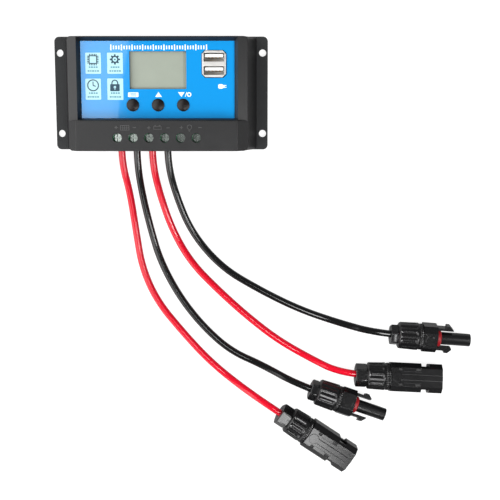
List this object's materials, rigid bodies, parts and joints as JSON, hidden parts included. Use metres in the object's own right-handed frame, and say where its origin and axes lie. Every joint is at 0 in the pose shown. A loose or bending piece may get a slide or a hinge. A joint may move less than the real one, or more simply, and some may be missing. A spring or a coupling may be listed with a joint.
{
  "type": "solar charge controller",
  "caption": "Wall-mount solar charge controller with display, push buttons, twin USB socket, rising-cage terminals and leads that end in solar cable connectors.",
  "frame": {"origin": "middle of the back plate's underside, the face that goes against the wall", "axes": "+Z out of the front face, +Y towards the face's top edge, +X to the right of the face"},
  "size_m": [0.264, 0.2794, 0.035],
  "materials": {
    "plate_coating": "fine textured dark grey powder coat",
    "cover_plastic": "fine spark-eroded texture, dark grey",
    "screw_steel": "zinc plated",
    "board_laminate": "green solder mask",
    "label_film": "glossy azure film",
    "display_glass": "clear cover over a grey-green display",
    "display_diffuser": "white diffuser",
    "tin_plate": "tin plated",
    "inner_plastic": "black moulding",
    "usb_metal": "bright nickel plated sheet",
    "white_plastic": "white moulding",
    "gold_contact": "gold flashed",
    "terminal_plastic": "green moulding",
    "pad_silicone": "soft silicone sheet",
    "capacitor_can": "sleeved aluminium can",
    "ferrite": "dark ferrite",
    "bare_copper": "bare copper strand",
    "seal_rubber": "red silicone rubber",
    "key_rubber": "black rubber cap, low sheen",
    "red_sheath": "glossy red cable sheath",
    "black_sheath": "glossy black cable sheath",
    "connector_plastic": "glossy black moulding"
  },
  "bodies": {
    "controller": {"back_plate": "plate_coating", "front_cover": "cover_plastic", "back_plate_screws": "screw_steel", "board_screws": "screw_steel", "circuit_board": "board_laminate", "face_label": "label_film", "lcd_glass": "display_glass", "lcd_backlight": "display_diffuser", "lcd_pins": "tin_plate", "switch_housings": "inner_plastic", "switch_domes": "tin_plate", "usb_shell": "usb_metal", "usb_tongues": "white_plastic", "usb_contacts": "gold_contact", "terminal_block": "terminal_plastic", "terminal_busbars": "tin_plate", "thermal_pad": "pad_silicone", "power_transistors": "inner_plastic", "reservoir_capacitors": "capacitor_can", "buck_inductor": "ferrite", "control_chip": "inner_plastic", "lead_conductors": "bare_copper", "socket_contacts": "tin_plate", "pin_contacts": "tin_plate", "connector_seal_rings": "seal_rubber", "cable_seals": "seal_rubber", "cable_clamps": "inner_plastic", "panel_positive_lead": "red_sheath", "panel_positive_connector": "connector_plastic", "panel_positive_nut": "connector_plastic", "panel_negative_lead": "black_sheath", "panel_negative_connector": "connector_plastic", "panel_negative_nut": "connector_plastic", "battery_positive_lead": "red_sheath", "battery_positive_connector": "connector_plastic", "battery_positive_nut": "connector_plastic", "battery_negative_lead": "black_sheath", "battery_negative_connector": "connector_plastic", "battery_negative_nut": "connector_plastic"},
    "menu_key": {"menu_button": "key_rubber", "menu_plunger": "inner_plastic"},
    "up_key": {"up_button": "key_rubber", "up_plunger": "inner_plastic"},
    "down_key": {"down_button": "key_rubber", "down_plunger": "inner_plastic"},
    "screw_1": {"terminal_screw_1": "screw_steel"},
    "cage_1": {"clamp_cage_1": "screw_steel"},
    "screw_2": {"terminal_screw_2": "screw_steel"},
    "cage_2": {"clamp_cage_2": "screw_steel"},
    "screw_3": {"terminal_screw_3": "screw_steel"},
    "cage_3": {"clamp_cage_3": "screw_steel"},
    "screw_4": {"terminal_screw_4": "screw_steel"},
    "cage_4": {"clamp_cage_4": "screw_steel"},
    "screw_5": {"terminal_screw_5": "screw_steel"},
    "cage_5": {"clamp_cage_5": "screw_steel"},
    "screw_6": {"terminal_screw_6": "screw_steel"},
    "cage_6": {"clamp_cage_6": "screw_steel"}
  },
  "joints": [
    {"name": "menu_press", "type": "slide", "parent": "controller", "child": "menu_key", "axis": [0, 0, -1], "range_m": [0, 0.0005], "stiffness_N_per_m": 3200},
    {"name": "up_press", "type": "slide", "parent": "controller", "child": "up_key", "axis": [0, 0, -1], "range_m": [0, 0.0005], "stiffness_N_per_m": 3200},
    {"name": "down_press", "type": "slide", "parent": "controller", "child": "down_key", "axis": [0, 0, -1], "range_m": [0, 0.0005], "stiffness_N_per_m": 3200},
    {"name": "screw_1_turn", "type": "hinge", "parent": "controller", "child": "screw_1", "pos_m": [-0.02375, -0.0271, 0.025], "axis": [0, 0, 1], "range_deg": [0, 1200]},
    {"name": "cage_1_lift", "type": "slide", "parent": "controller", "child": "cage_1", "axis": [0, 0, 1], "range_m": [-0.002, 0]},
    {"name": "screw_2_turn", "type": "hinge", "parent": "controller", "child": "screw_2", "pos_m": [-0.01425, -0.0271, 0.025], "axis": [0, 0, 1], "range_deg": [0, 1200]},
    {"name": "cage_2_lift", "type": "slide", "parent": "controller", "child": "cage_2", "axis": [0, 0, 1], "range_m": [-0.002, 0]},
    {"name": "screw_3_turn", "type": "hinge", "parent": "controller", "child": "screw_3", "pos_m": [-0.00475, -0.0271, 0.025], "axis": [0, 0, 1], "range_deg": [0, 1200]},
    {"name": "cage_3_lift", "type": "slide", "parent": "controller", "child": "cage_3", "axis": [0, 0, 1], "range_m": [-0.002, 0]},
    {"name": "screw_4_turn", "type": "hinge", "parent": "controller", "child": "screw_4", "pos_m": [0.00475, -0.0271, 0.025], "axis": [0, 0, 1], "range_deg": [0, 1200]},
    {"name": "cage_4_lift", "type": "slide", "parent": "controller", "child": "cage_4", "axis": [0, 0, 1], "range_m": [-0.002, 0]},
    {"name": "screw_5_turn", "type": "hinge", "parent": "controller", "child": "screw_5", "pos_m": [0.01425, -0.0271, 0.025], "axis": [0, 0, 1], "range_deg": [-1200, 0]},
    {"name": "cage_5_lift", "type": "slide", "parent": "controller", "child": "cage_5", "axis": [0, 0, 1], "range_m": [0, 0.002]},
    {"name": "screw_6_turn", "type": "hinge", "parent": "controller", "child": "screw_6", "pos_m": [0.02375, -0.0271, 0.025], "axis": [0, 0, 1], "range_deg": [-1200, 0]},
    {"name": "cage_6_lift", "type": "slide", "parent": "controller", "child": "cage_6", "axis": [0, 0, 1], "range_m": [0, 0.002]}
  ],
  "couplings": [
    {"joint": "screw_1_turn", "follows": "cage_1_lift", "rad_per_m": -10472},
    {"joint": "screw_2_turn", "follows": "cage_2_lift", "rad_per_m": -10472},
    {"joint": "screw_3_turn", "follows": "cage_3_lift", "rad_per_m": -10472},
    {"joint": "screw_4_turn", "follows": "cage_4_lift", "rad_per_m": -10472},
    {"joint": "screw_5_turn", "follows": "cage_5_lift", "rad_per_m": -10472},
    {"joint": "screw_6_turn", "follows": "cage_6_lift", "rad_per_m": -10472}
  ]
}
